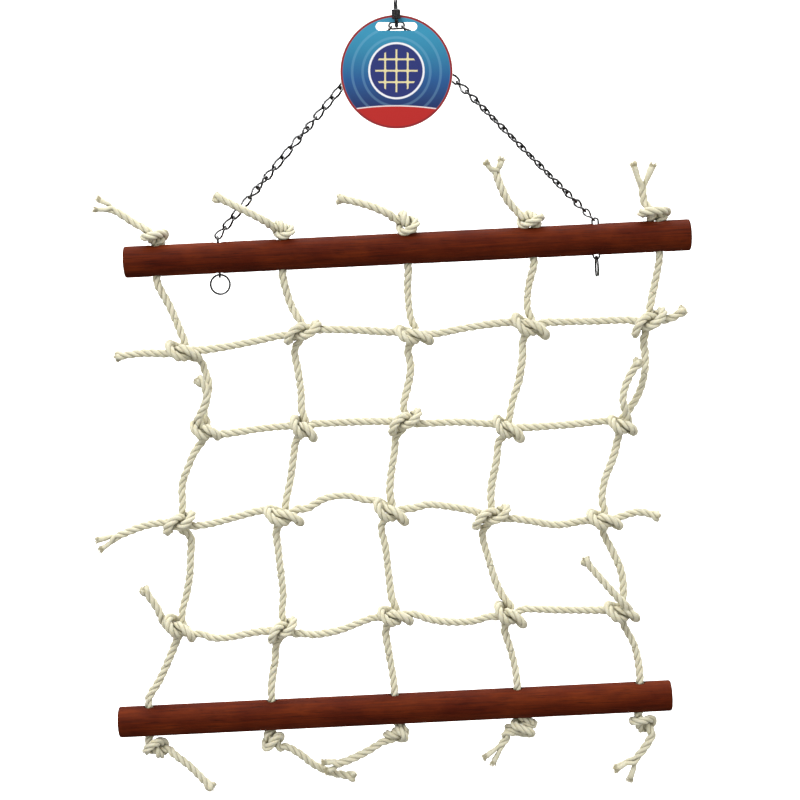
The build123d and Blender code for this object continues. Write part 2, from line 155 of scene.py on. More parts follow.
# A left and a right tail for each row: points (x, y, z) from the knot outwards,
# how many of the knot's points are left out at that end, end style
CROSS_TAILS = [
    [([(-218.3, -3, -74.0), (-240.0, -2, -75.7)], 0, "blunt"),
     ([(213.0, -3, -65.5), (221.5, -3, -60.0)], 0, "blunt")],
    [([(-176.0, -10, -129.6), (-171.6, -12.0, -121.7), (-167.6, -12.5, -111.6),
       (-168.6, -12.5, -103.3), (-174.6, -12.5, -96.2)], 2, "blunt"),
     ([(171.5, -9, -143.9), (168.4, -13, -134.0), (168.6, -13.5, -125.0),
       (173.0, -13.5, -112.8), (182.4, -13, -98.8)], 1, "blunt")],
    [([(-222.6, -3, -214.6), (-242.2, -3, -220.6), (-262.4, -2, -229.1)], 0, "frayed"),
     ([(178.6, -3, -223.8), (195.0, -3, -228.4)], 0, "blunt")],
    [([(-218.8, -7, -283.5), (-229.2, -9, -266.1)], 0, "blunt"),
     ([(165.9, -11, -301.0), (157.9, -14, -291.8), (148.2, -14, -279.8),
       (131.5, -13, -259.0)], 1, "blunt")],
]
# Stopper knots of each upright: x, z, roll about its axis in degrees, size (which sets its
# depth), half-length, half-height, tail points (x, y, z) from the knot outwards, end style
TOP_STOPS = [
    (-203.6, 20.0, 20, 0.80, 12.2, 9.2,
     [(-219.7, -2, 32.0), (-228.9, -3, 38.9), (-238.2, -3, 44.4), (-246.4, -3, 47.0)], "forked"),
    (-101.0, 20.6, 200, 0.76, 12.4, 9.0,
     [(-112.5, -8, 27.3), (-122.0, -12, 33.2), (-133.0, -14.5, 39.4), (-143.9, -15.5, 45.6),
      (-151.2, -16, 49.0)], "blunt"),
    (-1.8, 21.4, 205, 0.92, 13.8, 11.6,
     [(-13.5, -3, 28.5), (-25.5, -4, 34.6), (-38.9, -5, 39.3), (-53.6, -5, 43.2)], "blunt"),
    (99.4, 19.0, 300, 0.82, 13.2, 8.4,
     [(90.6, -1, 24.6), (82.4, -2, 35.0), (77.5, -3, 46.1), (73.9, -3, 57.5),
      (72.4, -3, 65.5)], "tee"),
    (200.4, 19.0, 60, 0.88, 14.8, 8.2,
     [(192.7, -1, 27.6), (191.4, -2, 36.1), (191.2, -3, 46.1), (191.8, -3, 56.9)], "split"),
]
LOW_STOPS = [
    (-225.2, -402.4, 40, 0.88, 14.0, 10.4,
     [(-213.1, -2, -407.6), (-201.5, -3, -417.4), (-191.5, -3, -428.5),
      (-183.4, -3, -438.0)], "blunt"),
    (-130.0, -401.6, 160, 0.72, 11.0, 9.8,
     [(-120.5, 0, -406.6), (-109.3, 1, -413.5), (-98.0, 2, -423.5), (-84.0, 2, -431.0),
      (-64.8, 2, -435.4)], "blunt"),
    (-28.6, -401.6, 250, 0.74, 11.4, 9.8,
     [(-38.8, -2, -405.6), (-53.3, -4, -412.9), (-72.0, -6, -420.0), (-87.5, -7, -423.1)],
     "forked"),
    (72.6, -400.9, 330, 0.86, 15.0, 9.0,
     [(62.8, -2, -407.2), (55.1, -3, -416.8), (47.7, -3, -424.8)], "forked"),
    (177.0, -401.6, 100, 0.84, 13.6, 9.8,
     [(183.2, -2, -411.0), (176.5, -3, -421.8), (167.0, -3, -432.4), (157.9, -3, -442.0)],
     "split"),
]
# Rope centrelines (x, y, z) of an overhand knot round an upright, and of one round nothing.
CROSS_KNOT = [
    (-9.5, -6.8, -0.5), (-5.5, -7.2, 0.0), (-2.1, -8.8, 1.7), (1.1, -11.4, 1.6),
    (4.2, -13.0, -0.5), (6.9, -12.6, -3.5), (8.5, -10.2, -6.4), (8.6, -6.5, -8.1),
    (7.6, -2.6, -7.9), (5.8, 0.5, -5.9), (3.9, 3.3, -3.6), (1.4, 5.5, -1.2),
    (-1.8, 5.7, 1.2), (-4.7, 3.9, 3.3), (-6.5, 0.5, 4.8), (-7.4, -3.3, 6.0),
    (-8.2, -7.2, 6.8), (-8.4, -11.1, 5.5), (-7.7, -13.7, 2.5), (-6.0, -14.5, -1.1),
    (-3.6, -13.2, -4.1), (-0.9, -10.4, -5.5), (1.7, -7.4, -4.6), (4.5, -5.8, -2.1),
    (8.3, -5.1, -0.9),
]
STOP_KNOT = [
    (-9.8, -0.7, 2.0), (-5.7, -1.1, 2.0), (-2.3, -3.0, 2.5), (0.8, -5.0, 1.0),
    (3.5, -5.4, -1.9), (5.3, -3.8, -5.1), (5.9, -0.6, -7.4), (5.3, 3.3, -8.0),
    (3.7, 6.7, -6.7), (1.5, 8.6, -4.0), (-0.5, 8.5, -0.5), (-2.0, 6.7, 2.8),
    (-3.3, 4.7, 5.9), (-4.8, 2.1, 8.6), (-6.2, -1.5, 9.4), (-7.3, -5.1, 8.0),
    (-7.6, -7.6, 4.9), (-7.2, -8.2, 1.0), (-5.9, -6.9, -2.6), (-4.0, -4.0, -4.6),
    (-1.7, -0.8, -4.5), (0.8, 1.5, -2.4), (4.4, 2.2, -0.7), (8.4, 2.8, -0.3),
]


# ------------------------------------------------------------------ mesh helpers
def unit(vector):
    return vector / np.linalg.norm(vector, axis=-1, keepdims=True)


def square_to(vector, tangent):
    """Unit part of a vector that is square to a tangent."""
    return unit(vector - tangent * vector.dot(tangent))


def run_lengths(path):
    """Length along a path at each of its points."""
    return np.r_[0, np.cumsum(np.linalg.norm(np.diff(path, axis=0), axis=1))]


def between(t, start, stop, first, last):
    """Straight blend from first at t = start to last at t = stop."""
    return (stop - t) / (stop - start) * first + (t - start) / (stop - start) * last


def smooth_path(points, step):
    """Centripetal Catmull-Rom through the points, resampled at an even step."""
    p = np.array(points, float)
    p = np.vstack([2 * p[0] - p[1], p, 2 * p[-1] - p[-2]])
    parts = []
    for i in range(1, len(p) - 2):
        p0, p1, p2, p3 = p[i - 1:i + 3]
        t0 = 0.0
        t1 = t0 + max(np.linalg.norm(p1 - p0), 1e-6) ** 0.5
        t2 = t1 + max(np.linalg.norm(p2 - p1), 1e-6) ** 0.5
        t3 = t2 + max(np.linalg.norm(p3 - p2), 1e-6) ** 0.5
        count = max(4, int(np.linalg.norm(p2 - p1) / 0.35))
        t = np.linspace(t1, t2, count, endpoint=False)[:, None]
        a1 = between(t, t0, t1, p0, p1)
        a2 = between(t, t1, t2, p1, p2)
        a3 = between(t, t2, t3, p2, p3)
        b1 = between(t, t0, t2, a1, a2)
        b2 = between(t, t1, t3, a2, a3)
        parts.append(between(t, t1, t2, b1, b2))
    fine = np.vstack(parts + [p[-2][None]])
    for _ in range(3):
        fine[1:-1] = 0.25 * fine[:-2] + 0.5 * fine[1:-1] + 0.25 * fine[2:]
    lengths = run_lengths(fine)
    count = max(2, int(round(lengths[-1] / step)))
    even = np.linspace(0, lengths[-1], count + 1)
    return np.stack([np.interp(even, lengths, fine[:, k]) for k in range(3)], 1), even


def carry(tangents, first):
    """Carry a side vector along the tangents without twist."""
    normals = np.zeros_like(tangents)
    normals[0] = first
    for i in range(1, len(tangents)):
        normals[i] = square_to(normals[i - 1], tangents[i])
    return normals


def carried_frames(path):
    """Unit tangents, normals and binormals of an open path."""
    tangents = unit(np.gradient(path, axis=0))
    normals = carry(tangents, square_to(np.array((0.13, 1.0, 0.21)), tangents[0]))
    return tangents, normals, np.cross(tangents, normals)


class TubeMesh:
    """Collects tubes, with a fibre coordinate and a tone on every point."""

    RIDGES = 5                   # ridges round a tube
    FIBRE_SCALE = 0.05           # lengthwise fibre coordinate per millimetre

    def __init__(self):
        self.points = []
        self.fibres = []
        self.tones = []
        self.faces = []
        self.count = 0

    def add_points(self, points, fibres, tone):
        """Adds points and returns the index of the first."""
        first = self.count
        self.points.append(points)
        self.fibres.append(fibres)
        self.tones.append(np.full(len(points), tone))
        self.count += len(points)
        return first

    def add_rings(self, centres, normals, binormals, normal_reach, binormal_reach,
                  spin, along, tone=0.0, closed=False):
        """Skins a ring of points round each centre; returns the first point's index."""
        points = (centres[:, None, :] + normal_reach[..., None] * normals[:, None, :]
                  + binormal_reach[..., None] * binormals[:, None, :])
        fibres = np.stack(np.broadcast_arrays(np.cos(spin), np.sin(spin), along[:, None]), -1)
        rings, sides = points.shape[:2]
        first = self.add_points(points.reshape(-1, 3), fibres.reshape(-1, 3), tone)
        ring = np.arange(rings if closed else rings - 1)[:, None]
        here = first + ring * sides
        ahead = first + (ring + 1) % rings * sides
        j = np.arange(sides)[None, :]
        k = (j + 1) % sides
        quads = np.stack([here + j, here + k, ahead + k, ahead + j], -1).reshape(-1, 4)
        self.faces.extend(map(tuple, quads.tolist()))
        return first

    def tube(self, path, radius, sides, twist=0.0, ridge=0.0, seed=0.0, tone=0.0, lengths=None):
        """A tube along an open path, closed by a fan of triangles at each end."""
        _, normals, binormals = carried_frames(path)
        if lengths is None:
            lengths = run_lengths(path)
        angles = np.linspace(0, 2 * math.pi, sides, endpoint=False)[None, :]
        spin = angles - (lengths * twist)[:, None]
        reach = radius[:, None] * (1 + ridge * np.cos(self.RIDGES * spin)
                                   + 0.35 * ridge * np.cos((self.RIDGES * 2 + 1) * spin + seed))
        along = lengths * self.FIBRE_SCALE + seed
        first = self.add_rings(path, normals, binormals, reach * np.cos(angles),
                               reach * np.sin(angles), spin, along, tone)
        for end, ring in ((0, 0), (-1, (len(path) - 1) * sides)):
            hub = self.add_points(path[end][None], np.array([[0.0, 0.0, along[end]]]), tone)
            for q in range(sides):
                x = first + ring + q
                y = first + ring + (q + 1) % sides
                self.faces.append((hub, y, x) if end == 0 else (hub, x, y))

    def build(self, name, material):
        mesh = bpy.data.meshes.new(name)
        mesh.from_pydata((np.vstack(self.points) * MM).tolist(), [], self.faces)
        mesh.polygons.foreach_set("use_smooth", [True] * len(mesh.polygons))
        fibre = mesh.attributes.new("fibre", "FLOAT_VECTOR", "POINT")
        fibre.data.foreach_set("vector", np.vstack(self.fibres).astype(np.float32).ravel())
        tone = mesh.attributes.new("tone", "FLOAT", "POINT")
        tone.data.foreach_set("value", np.concatenate(self.tones).astype(np.float32))
        mesh.materials.append(material)
        mesh.update()
        made = bpy.data.objects.new(name, mesh)
        bpy.context.scene.collection.objects.link(made)
        return made


# ---------------------------------------------------------------- shader helpers
def srgb(*levels):
    """Linear colour from 0-255 sRGB levels."""
    return tuple(v / 255 / 12.92 if v / 255 <= 0.04045 else ((v / 255 + 0.055) / 1.055) ** 2.4
                 for v in levels)


def grey(level):
    return (level,) * 3


def feed(tree, socket, value):
    """Link a socket from another, or set its value."""
    if isinstance(value, bpy.types.NodeSocket):
        tree.links.new(value, socket)
    else:
        socket.default_value = value


def set_inputs(tree, node, **inputs):
    """Feed inputs by name, with _ for each space."""
    for name, value in inputs.items():
        feed(tree, node.inputs[name.replace("_", " ")], value)


def add_node(tree, kind, **values):
    """Capitalised names are the node's inputs, the others its settings."""
    node = tree.nodes.new("ShaderNode" + kind)
    for name, value in values.items():
        if name[0].isupper():
            set_inputs(tree, node, **{name: value})
        else:
            setattr(node, name, value)
    return node


def new_material(name):
    material = bpy.data.materials.new(name)
    material.use_nodes = True
    tree = material.node_tree
    for node in list(tree.nodes):
        tree.nodes.remove(node)
    output = add_node(tree, "OutputMaterial")
    shader = add_node(tree, "BsdfPrincipled")
    tree.links.new(shader.outputs[0], output.inputs[0])
    return material, tree, shader


def ramp(tree, source, *stops):
    """Colour ramp through (position, colour) stops."""
    node = add_node(tree, "ValToRGB")
    elements = node.color_ramp.elements
    while len(elements) < len(stops):
        elements.new(0.5)
    for element, (position, colour) in zip(elements, stops):
        element.position = position
        element.color = (*colour, 1)
    tree.links.new(source, node.inputs[0])
    return node.outputs[0]


def mix(tree, factor, base, top, blend_type="MIX"):
    """Colour mix; top is a socket or a plain colour."""
    node = add_node(tree, "Mix", data_type="RGBA", blend_type=blend_type)
    feed(tree, node.inputs[0], factor)
    feed(tree, node.inputs[6], base)
    feed(tree, node.inputs[7], (*top, 1) if isinstance(top, tuple) else top)
    return node.outputs[2]


def calc(tree, operation, *terms):
    node = add_node(tree, "Math", operation=operation)
    for socket, term in zip(node.inputs, terms):
        feed(tree, socket, term)
    return node.outputs[0]


def stretched_noise(tree, vector, stretch, **noise):
    """Noise on a coordinate scaled differently along each axis."""
    mapping = add_node(tree, "Mapping", Scale=stretch, Vector=vector)
    return add_node(tree, "TexNoise", Vector=mapping.outputs[0], **noise).outputs["Fac"]


def bump(tree, height, strength, distance):
    return add_node(tree, "Bump", Strength=strength, Distance=distance,
                    Height=height).outputs[0]


def object_normal(tree, output):
    """Split a Geometry normal into object-space X, Y and Z."""
    geometry = add_node(tree, "NewGeometry")
    turn = add_node(tree, "VectorTransform", vector_type="NORMAL", convert_from="WORLD",
                    convert_to="OBJECT", Vector=geometry.outputs[output])
    return add_node(tree, "SeparateXYZ", Vector=turn.outputs[0])


# --------------------------------------------------------------------- materials
def rope_material():
    material, tree, shader = new_material("sisal")
    fibre = add_node(tree, "Attribute", attribute_name="fibre").outputs["Vector"]
    tone = add_node(tree, "Attribute", attribute_name="tone").outputs["Fac"]
    fine = stretched_noise(tree, fibre, (5.5, 5.5, 3.0), Scale=2.2, Detail=5.0, Roughness=0.65)
    patch = stretched_noise(tree, fibre, (1.2, 1.2, 2.0), Scale=1.3, Detail=3.0)
    strands = ramp(tree, fine, (0.26, srgb(182, 174, 138)), (0.46, srgb(226, 222, 200)),
                   (0.70, srgb(246, 244, 231)))
    patches = ramp(tree, patch, (0.3, srgb(238, 232, 206)), (0.6, srgb(253, 252, 245)))
    colour = mix(tree, 0.75, strands, patches, "MULTIPLY")
    # painted shade: ambient occlusion darkens the creases between strands towards olive
    shade = add_node(tree, "AmbientOcclusion", samples=6, Distance=0.0035)
    painted_crease_shade = ramp(tree, shade.outputs["AO"], (0.20, srgb(128, 120, 78)), (0.80, grey(1)))
    colour = mix(tree, 0.85, colour, painted_crease_shade, "MULTIPLY")
    # loose fibres carry a tone, which draws them towards straw
    colour = mix(tree, tone, colour, srgb(222, 207, 160))
    set_inputs(tree, shader, Base_Color=colour, Roughness=0.72, Sheen_Weight=0.25,
               Sheen_Roughness=0.5, Subsurface_Weight=0.12,
               Subsurface_Radius=(0.002, 0.0015, 0.0008), Subsurface_Scale=0.6,
               Normal=bump(tree, fine, strength=0.75, distance=0.00035))
    return material


def wood_material():
    material, tree, shader = new_material("stained_wood")
    place = add_node(tree, "TexCoord").outputs["Object"]

    def streaks(along, across, detail, roughness):
        return stretched_noise(tree, place, (along, across, across), Scale=1.0,
                               Detail=detail, Roughness=roughness)

    grain = streaks(along=22, across=900, detail=6, roughness=0.7)
    pores = streaks(along=60, across=2400, detail=2, roughness=0.5)
    bands = streaks(along=4, across=110, detail=3, roughness=0.55)
    # painted sheen: darker patches that stand in for the shimmer of the wood across its grain
    painted_sheen_marks = streaks(along=38, across=60, detail=3, roughness=0.5)
    colour = ramp(tree, grain, (0.25, srgb(78, 27, 5)), (0.5, srgb(108, 41, 9)),
                  (0.78, srgb(128, 54, 14)))
    bands = ramp(tree, bands, (0.3, srgb(186, 150, 140)), (0.65, grey(1)))
    painted_sheen_marks = ramp(tree, painted_sheen_marks, (0.3, srgb(196, 160, 150)), (0.7, grey(1)))
    pores = ramp(tree, pores, (0.30, srgb(96, 60, 50)), (0.42, grey(1)))
    for layer, strength in ((bands, 0.7), (painted_sheen_marks, 0.8), (pores, 0.6)):
        colour = mix(tree, strength, colour, layer, "MULTIPLY")
    # end grain takes more stain
    facing = calc(tree, "ABSOLUTE", object_normal(tree, "Normal").outputs["X"])
    end_grain = ramp(tree, facing, (0.6, grey(0)), (0.95, grey(1)))
    colour = mix(tree, end_grain, colour, srgb(66, 24, 14))
    roughness = ramp(tree, grain, (0.3, grey(0.58)), (0.7, grey(0.76)))
    height = calc(tree, "ADD", grain, pores)
    set_inputs(tree, shader, Base_Color=colour, Roughness=roughness, Specular_IOR_Level=0.09,
               Normal=bump(tree, height, strength=0.5, distance=0.00025))
    return material


def metal_material(name, colour, roughness):
    material, tree, shader = new_material(name)
    place = add_node(tree, "TexCoord").outputs["Object"]
    noise = add_node(tree, "TexNoise", Scale=900.0, Detail=4.0, Vector=place).outputs["Fac"]
    mottle = ramp(tree, noise, (0.3, tuple(v * 0.62 for v in colour)), (0.7, colour))
    polish = ramp(tree, noise, (0.3, grey(roughness * 0.7)), (0.75, grey(roughness * 1.5)))
    # painted shade: ambient occlusion darkens the metal's colour where wires meet and lie close
    shade = add_node(tree, "AmbientOcclusion", samples=4, Distance=0.002)
    painted_shade_colour = mix(tree, 0.8, mottle, shade.outputs["Color"], "MULTIPLY")
    set_inputs(tree, shader, Base_Color=painted_shade_colour, Roughness=polish, Metallic=1.0,
               Normal=bump(tree, noise, strength=0.15, distance=0.0001))
    return material


def card_material():
    """Printed card: red rim, blue field, red lower part and a round badge with a net grid.

    The print is laid out in radii of the card from its centre.
    """
    material, tree, shader = new_material("printed_card")
    low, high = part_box("header_card")
    centre_x = (low.x + high.x) / 2
    centre_z = (low.z + high.z) / 2
    radius = (high.z - low.z) / 2
    place = add_node(tree, "TexCoord").outputs["Object"]
    scaled = add_node(tree, "Mapping", Location=(-centre_x / radius, 0, -centre_z / radius),
                      Scale=grey(1 / radius), Vector=place)
    tilted = add_node(tree, "VectorRotate", rotation_type="Y_AXIS",
                      Angle=-math.radians(2.8), Vector=scaled.outputs[0])
    axes = add_node(tree, "SeparateXYZ", Vector=tilted.outputs[0])
    x = axes.outputs["X"]
    z = axes.outputs["Z"]

    def sums(operation, *terms):
        return calc(tree, operation, *terms)

    def above(value, edge, soft=0.012):
        """1 where the value is above the edge."""
        node = add_node(tree, "MapRange", interpolation_type="SMOOTHSTEP",
                        From_Min=edge - soft / 2, From_Max=edge + soft / 2, Value=value)
        return node.outputs[0]

    def below(value, edge, soft=0.012):
        return sums("SUBTRACT", 1.0, above(value, edge, soft))

    def distance(a, b):
        return sums("SQRT", sums("ADD", sums("MULTIPLY", a, a), sums("MULTIPLY", b, b)))

    def from_cell_middle(value, shift, cells=5.0):
        """Distance from the middle of a grid cell, in cells."""
        cell = sums("FRACT", sums("MULTIPLY", sums("ADD", value, shift), cells))
        return sums("ABSOLUTE", sums("SUBTRACT", cell, 0.5))

    from_centre = distance(x, z)
    height = add_node(tree, "MapRange", From_Min=-0.6, From_Max=0.7, Value=z)
    colour = ramp(tree, height.outputs[0], (0.0, srgb(14, 44, 104)), (0.35, srgb(16, 84, 146)),
                  (0.75, srgb(34, 130, 168)), (1.0, srgb(42, 144, 180)))
    # soft rings of a lighter blue
    rings = above(sums("SINE", sums("MULTIPLY", from_centre, 34.0)), 0.72, soft=0.3)
    colour = mix(tree, sums("MULTIPLY", rings, 0.16), colour, srgb(150, 205, 232))
    # round badge with a net grid inside a pale edge
    badge_height = sums("POWER", sums("SUBTRACT", z, 0.02), 2.0)
    from_badge = sums("SQRT", sums("ADD", sums("MULTIPLY", x, x), badge_height))
    badge = below(from_badge, 0.50)
    badge_edge = sums("MULTIPLY", badge, above(from_badge, 0.465))
    colour = mix(tree, badge, colour, srgb(30, 44, 118))
    grid_x = from_cell_middle(x, shift=2.1)
    grid_z = from_cell_middle(z, shift=2.08)
    lines = sums("MAXIMUM", below(grid_x, 0.075, soft=0.05), below(grid_z, 0.075, soft=0.05))
    dots = below(distance(grid_x, grid_z), 0.16, soft=0.06)
    net = sums("MULTIPLY", sums("MAXIMUM", lines, dots), below(from_badge, 0.375))
    colour = mix(tree, net, colour, srgb(226, 214, 160))
    colour = mix(tree, badge_edge, colour, srgb(236, 236, 240))
    # red lower part under a curved edge, with a thin pale line
    curved_z = sums("ADD", z, sums("MULTIPLY", sums("MULTIPLY", x, x), 0.10))
    line = sums("MULTIPLY", below(curved_z, -0.585), above(curved_z, -0.605))
    colour = mix(tree, below(curved_z, -0.60), colour, srgb(186, 16, 8))
    colour = mix(tree, line, colour, srgb(235, 220, 220))
    # red rim and the card's pale edge
    colour = mix(tree, above(from_centre, 0.955), colour, srgb(150, 18, 26))
    colour = mix(tree, above(from_centre, 0.992), colour, srgb(228, 222, 214))
    # all but the front is plain grey board
    facing_y = object_normal(tree, "True Normal").outputs["Y"]
    fibre = add_node(tree, "TexNoise", Scale=700.0, Detail=6.0, Vector=place).outputs["Fac"]
    board = ramp(tree, fibre, (0.3, srgb(196, 190, 178)), (0.7, srgb(220, 215, 204)))
    colour = mix(tree, above(facing_y, -0.5), colour, board)
    front = below(facing_y, -0.5)
    roughness = add_node(tree, "MapRange", To_Min=0.8, To_Max=0.42, Value=front)
    set_inputs(tree, shader, Base_Color=colour, Roughness=roughness.outputs[0],
               Coat_Weight=sums("MULTIPLY", front, 0.25), Coat_Roughness=0.25,
               Normal=bump(tree, fibre, strength=0.08, distance=0.0001))
    return material


SISAL = rope_material()
WOOD = wood_material()
NICKEL = metal_material("nickel_chain", colour=(0.24, 0.24, 0.245), roughness=0.26)
DARK = metal_material("plated_steel", colour=(0.20, 0.20, 0.205), roughness=0.26)
CARD = card_material()

for piece_material, piece_names in (
        (WOOD, ("top_bar", "bottom_bar")),
        (DARK, ("hanging_link", "link_nut")),
        (CARD, ("header_card",)),
        (NICKEL, ("chain_top_link", "left_bar_links", "right_bar_links", "left_end_link",
                  "right_end_link"))):
    for piece_name in piece_names:
        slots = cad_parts[piece_name].data.materials
        slots.clear()
        slots.append(piece_material)

# -------------------------------------------------------------------------- rope
PATH_STEP = 1.35
LAY = 20.5                       # length of one turn of the strands
STRAND_OFFSET = 1.75             # strand's centre from the rope's
STRAND_RADIUS = 1.68
STRAND_SIDES = 14
# How a cut end opens: over what length, how far, how sharply (power), and how much the
# strands swell
END_STYLES = {
    "blunt": (6.0, 1.15, 1.0, 0.72),
    "forked": (13.0, 2.6, 1.2, 0.55),
    "frayed": (15.0, 2.4, 1.3, 0.5),
    "split": (17.0, 6.0, 1.15, 0.75),
    "tee": (8.5, 4.6, 1.0, 0.9),
}


def from_top_bar(point):
    """Place a point whose X and Z are from the top bar's centre."""
    return (point[0] + TOP[0], point[1], point[2] + TOP[2])


def size_near(path, centres, reach, change):
    """Factor on the rope's thickness, changed by up to the given part near the centres."""
    nearest = np.min([np.linalg.norm(path - np.array(c), axis=1) for c in centres], axis=0)
    return 1 + change * np.clip(1.25 - nearest / reach, 0, 1)


def loose_fibre(mesh, start, axes, length, rise, rise_power, curl, radius, thinning, sides,
                tone, rng):
    """One bent fibre; the axes are its run, its way outwards and its curl sideways."""
    run, outwards, sideways = axes
    u = np.linspace(0, 1, 5)
    t = u[:, None]
    path = start + length * (run * t + outwards * rise * t ** rise_power
                             + sideways * curl * t ** 2)
    mesh.tube(path, radius * (1 - thinning * u), sides, seed=rng.uniform(0, 9), tone=tone)


class Rope:
    """Three strands laid round one centreline."""

    def __init__(self, points, seed, ends, knots):
        """knots lists (centres, reach, change) for size_near."""
        self.rng = random.Random(seed)
        self.path, self.lengths = smooth_path([from_top_bar(p) for p in points], PATH_STEP)
        self.tangents, self.normals, self.binormals = carried_frames(self.path)
        self.phase = self.rng.uniform(0, 6.28)
        self.ends = ends
        self.seed = seed
        self.last = len(self.path) - 1
        # slow change of thickness, as on hand-worked rope
        self.swell = (1 + 0.035 * np.sin(self.lengths / 17.0 + seed)
                      + 0.025 * np.sin(self.lengths / 7.3 + 2.1 * seed))
        self.knot_size = math.prod(size_near(self.path, *knot) for knot in knots)

    def lay(self, length, strand):
        """Angle of a strand about the centreline."""
        return (2 * math.pi * length / LAY + 2 * math.pi * strand / 3 + self.phase
                + 0.35 * np.sin(length / 31.0 + self.seed))

    def parted(self, angle, opened, end, hold, strand):
        """Stop the lay's turning at an open end: the rope parts in two, across the view."""
        across = np.cross(self.tangents[end], (0.0, 1.0, 0.0))
        aim = math.atan2(across.dot(self.binormals[end]), across.dot(self.normals[end]))
        aim += (0, math.pi - 0.55, math.pi + 0.55)[strand]
        turn = (aim - hold + math.pi) % (2 * math.pi) - math.pi
        v = np.clip(opened * 1.8, 0, 1)
        return np.where(opened > 0, hold + turn * v * v * (3 - 2 * v), angle)

    def strand(self, strand, piece):
        """Angle about the centreline, distance from it and radius, over a slice."""
        lengths = self.lengths[piece]
        total = self.lengths[-1]
        angle = self.lay(lengths, strand)
        size = self.swell[piece] * self.knot_size[piece]
        offset = STRAND_OFFSET * size
        radius = (STRAND_RADIUS * size
                  * (1 + 0.03 * np.sin(lengths / 4.1 + strand * 2 + self.seed)))
        for end, style in zip((0, -1), self.ends):
            reach, spread, power, fluff = END_STYLES[style]
            from_end = lengths if end == 0 else total - lengths
            opened = np.clip(1 - from_end / reach, 0, 1)
            if style != "blunt":
                hold = self.lay(reach if end == 0 else total - reach, strand)
                angle = self.parted(angle, opened, end, hold, strand)
                fluff *= 1.0 if strand == 0 else 0.45
            offset = offset + spread * opened ** power
            radius = radius * (1 + fluff * opened)
        return angle, offset, radius

    def piece(self, start, stop):
        """Mesh of the rope from sample start to sample stop."""
        mesh = TubeMesh()
        piece = slice(start, stop + 1)
        lengths = self.lengths[piece]
        # cut ends in this piece: tip, the point before it, length from the tip, style
        cuts = []
        if start == 0:
            cuts.append((0, 1, lengths - lengths[0], self.ends[0]))
        if stop == self.last:
            cuts.append((-1, -2, lengths[-1] - lengths, self.ends[1]))
        for k in range(3):
            angle, offset, radius = self.strand(k, piece)
            outwards = (np.cos(angle)[:, None] * self.normals[piece]
                        + np.sin(angle)[:, None] * self.binormals[piece])
            path = self.path[piece] + offset[:, None] * outwards
            for _, _, from_tip, _ in cuts:
                # round the tip over a little
                radius = radius * np.sqrt(np.clip(0.40 + 0.60 * from_tip / 1.6, 0, 1))
            mesh.tube(path, radius, STRAND_SIDES, twist=-0.62, ridge=0.045,
                      seed=self.seed * 1.7 + k * 3.1, lengths=lengths)
            for tip, inner, _, style in cuts:
                self.tuft(mesh, path[tip], unit(path[tip] - path[inner]), radius[tip], style)
        self.hairs(mesh, start, stop)
        return mesh

    def tuft(self, mesh, tip, run, radius, style):
        """Loose fibres at a cut end."""
        rng = self.rng
        loose = style != "blunt"
        for _ in range(80 if loose else 46):
            outwards = square_to(np.array([rng.gauss(0, 1) for _ in range(3)]), run)
            start = tip + outwards * radius * rng.uniform(0.1, 1.5) - run * 1.3
            length = rng.uniform(2.0, 5.5) if loose else rng.uniform(1.0, 2.6)
            loose_fibre(mesh, start, (run, outwards, np.cross(run, outwards)), length,
                        rise=rng.uniform(0.05, 0.5), rise_power=1.6,
                        curl=rng.uniform(-0.25, 0.25), radius=0.22, thinning=0.55,
                        sides=4, tone=0.35, rng=rng)

    def hairs(self, mesh, start, stop):
        """Stray fibres standing off the rope."""
        rng = random.Random(self.seed * 1000 + start)
        for _ in range(int((self.lengths[stop] - self.lengths[start]) * 0.30)):
            i = rng.randint(start + 1, stop - 1)
            angle = rng.uniform(0, 6.28)
            outwards = (math.cos(angle) * self.normals[i]
                        + math.sin(angle) * self.binormals[i])
            sideways = np.cross(self.tangents[i], outwards)
            sign = 1 if rng.random() < 0.5 else -1
            run = unit(self.tangents[i] * sign * rng.uniform(0.6, 1.0)
                       + sideways * rng.uniform(-0.5, 0.5))
            root = self.path[i] + outwards * (3.4 * self.knot_size[i])
            loose_fibre(mesh, root, (run, outwards, sideways), rng.uniform(2.5, 7.5),
                        rise=rng.uniform(0.12, 0.42), rise_power=1.4,
                        curl=rng.uniform(-0.2, 0.2), radius=0.085, thinning=0.5,
                        sides=3, tone=0.15, rng=rng)


# ------------------------------------------------------------------------- knots
KNOT_MARGIN = 3.8                # from a knot's rope centreline to its outer size
CROSS_KNOT_Y = 3.0               # shift of the cross knots to the back
STOP_KNOT_Y = -1.0


def widest(points, axis, centre):
    """Greatest distance of a knot's turns from its centre; the end points don't count."""
    return max(abs(p[axis] - centre) for p in points[1:-1])


def fitted(points, x, z, half_long, half_high, deep):
    """Stretch a knot about (x, z) to its outer size, and its depth by a factor."""
    scale_x = (half_long - KNOT_MARGIN) / widest(points, 0, x)
    scale_z = (half_high - KNOT_MARGIN) / widest(points, 2, z)
    return [(x + (p[0] - x) * scale_x, p[1] * deep, z + (p[2] - z) * scale_z) for p in points]


def cross_knot(x, z, half_long, half_high, mirrored, tilt):
    points = [(px, py, -pz if mirrored else pz) for px, py, pz in CROSS_KNOT]
    points = fitted(points, 0, 0, half_long, half_high, deep=1.06)
    cosine = math.cos(math.radians(tilt))
    sine = math.sin(math.radians(tilt))
    return [(x + px * cosine - pz * sine, py + CROSS_KNOT_Y, z + px * sine + pz * cosine)
            for px, py, pz in points]


